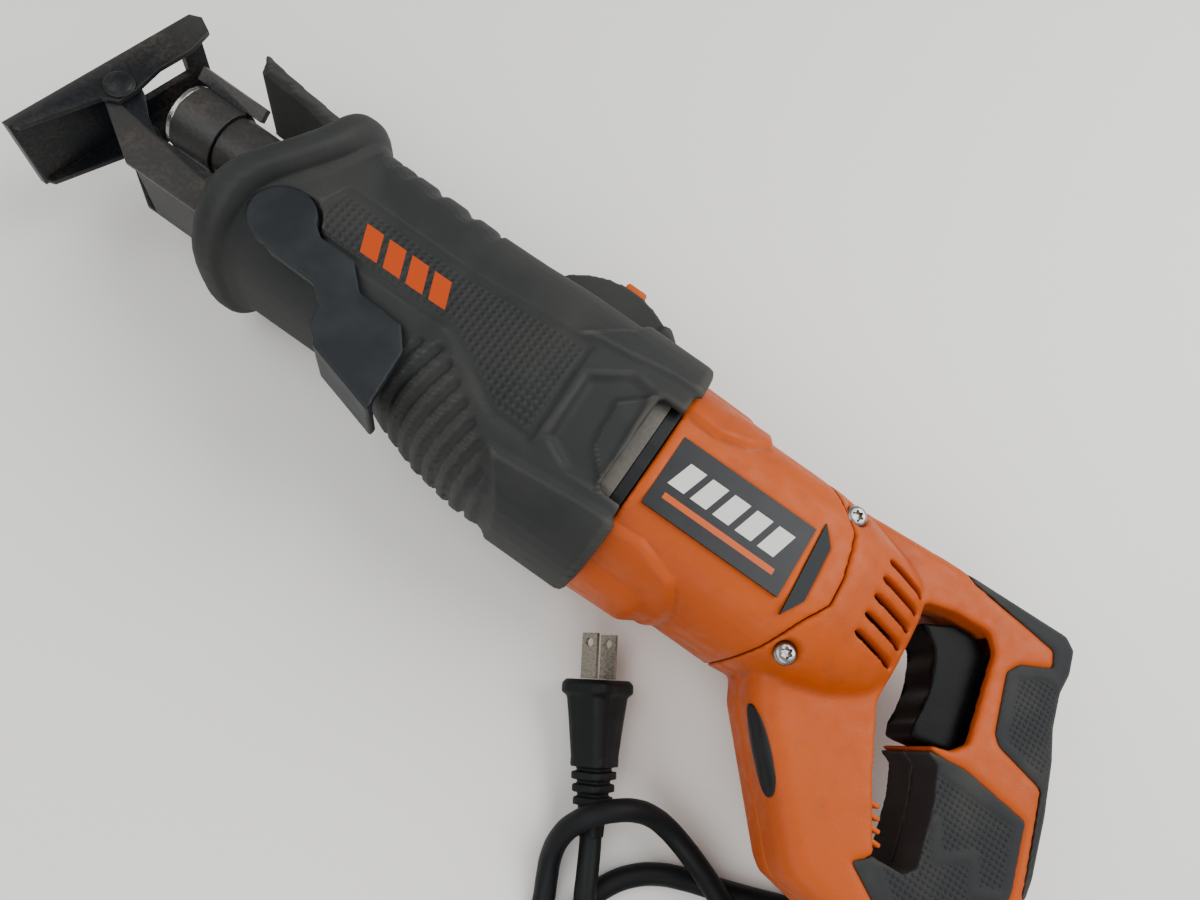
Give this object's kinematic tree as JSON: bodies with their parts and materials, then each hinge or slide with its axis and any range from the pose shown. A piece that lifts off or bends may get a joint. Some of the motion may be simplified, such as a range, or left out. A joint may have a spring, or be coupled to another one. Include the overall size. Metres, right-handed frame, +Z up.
{
  "type": "reciprocating saw",
  "caption": "Corded reciprocating saw lying on its side: pistol D-handle, rubber-booted gear case, pivoting shoe, keyless blade clamp, and its mains lead with a flat two-blade plug.",
  "frame": {"origin": "centre of the saw's own bounding box, without its lead, on the surface that its right side lies on", "axes": "+X from the shoe to the handle along the spindle, +Y to the saw's top edge, +Z up out of the bench, to the saw's left side"},
  "size_m": [0.4828, 0.2679, 0.0871],
  "materials": {
    "orange_shell": "satin",
    "boot_rubber": "matte",
    "grip_rubber": "matte",
    "slate_plastic": "satin",
    "black_plastic": "satin",
    "cord_pvc": "satin",
    "black_steel": "satin",
    "bright_steel": "satin",
    "case_aluminium": "matte",
    "bronze": "satin",
    "motor_windings": "satin",
    "carbon": "matte",
    "nickel": "satin"
  },
  "bodies": {
    "saw": {"rubber_boot": "boot_rubber", "gear_case_left": "case_aluminium", "gear_case_right": "case_aluminium", "front_bush": "bronze", "rear_bush": "bronze", "gear_axle": "bright_steel", "motor_housing": "orange_shell", "badge_left": "slate_plastic", "badge_right": "slate_plastic", "accent_left": "grip_rubber", "accent_right": "grip_rubber", "motor_baffle": "black_plastic", "stator": "motor_windings", "front_bearing": "bright_steel", "rear_bearing": "bright_steel", "brush_frame": "black_plastic", "brush_holder_upper": "bronze", "brush_holder_lower": "bronze", "carbon_brush_upper": "carbon", "carbon_brush_lower": "carbon", "handle_left": "orange_shell", "handle_right": "orange_shell", "grip_back_left": "grip_rubber", "grip_back_right": "grip_rubber", "grip_front_left": "grip_rubber", "grip_front_right": "grip_rubber", "handle_screw_1": "bright_steel", "handle_screw_2": "bright_steel", "switch_body": "black_plastic", "trigger_spring": "bright_steel", "cord_strain_relief": "cord_pvc", "cord_lead": "cord_pvc", "cord_coil": "cord_pvc", "cord_run": "cord_pvc", "plug_body": "cord_pvc", "plug_blade_left": "nickel", "plug_blade_right": "nickel"},
    "spindle_group": {"spindle": "bright_steel", "blade_clamp_body": "black_steel", "clamp_ring": "bright_steel", "yoke_roller": "bright_steel"},
    "collar": {"clamp_collar": "black_steel"},
    "crown": {"crown_gear": "bright_steel", "crank_pin": "bright_steel"},
    "armature": {"armature_shaft": "bright_steel", "armature_core": "motor_windings", "commutator": "bronze", "cooling_fan": "black_plastic"},
    "post": {"shoe_post": "black_steel"},
    "shoe_group": {"shoe": "black_steel", "shoe_rivet_left": "bright_steel", "shoe_rivet_right": "bright_steel"},
    "lever": {"shoe_release_lever": "slate_plastic", "release_shaft": "bright_steel"},
    "selector": {"orbit_selector": "orange_shell"},
    "trigger_group": {"trigger": "black_plastic"}
  },
  "joints": [
    {"name": "spindle_stroke", "type": "slide", "parent": "saw", "child": "spindle_group", "axis": [1, 0, 0], "range_m": [-0.008, 0.0206]},
    {"name": "collar_turn", "type": "hinge", "parent": "spindle_group", "child": "collar", "pos_m": [-0.1686, 0.046, 0.0436], "axis": [-1, 0, 0], "range_deg": [0, 60], "stiffness_Nm_per_rad": 0.1, "springref_deg": -11.46},
    {"name": "crown_spin", "type": "hinge", "parent": "saw", "child": "crown", "pos_m": [-0.0326, 0.018, 0.0436], "axis": [0, 1, 0], "continuous": true},
    {"name": "armature_spin", "type": "hinge", "parent": "saw", "child": "armature", "pos_m": [0.0294, 0.029, 0.0436], "axis": [1, 0, 0], "continuous": true},
    {"name": "shoe_reach", "type": "slide", "parent": "saw", "child": "post", "axis": [-1, 0, 0], "range_m": [0, 0.025]},
    {"name": "shoe_tilt", "type": "hinge", "parent": "post", "child": "shoe_group", "pos_m": [-0.1936, 0.033, 0.0436], "axis": [0, 0, 1], "range_deg": [-5, 30]},
    {"name": "release_turn", "type": "hinge", "parent": "saw", "child": "lever", "pos_m": [-0.1116, 0.021, 0.0776], "axis": [0, 0, 1], "range_deg": [-50, 0], "stiffness_Nm_per_rad": 0.4, "springref_deg": 17.19},
    {"name": "selector_turn", "type": "hinge", "parent": "saw", "child": "selector", "pos_m": [-0.0096, 0.053, 0.0436], "axis": [0, 0, 1], "range_deg": [-20, 20]},
    {"name": "trigger_pull", "type": "slide", "parent": "saw", "child": "trigger_group", "axis": [0.9874, 0.158, 0], "range_m": [0, 0.007], "stiffness_N_per_m": 1200, "springref_m": -0.002, "deforming": ["trigger_spring"]}
  ],
  "couplings": [
    {"joint": "armature_spin", "follows": "crown_spin", "ratio": 6}
  ]
}
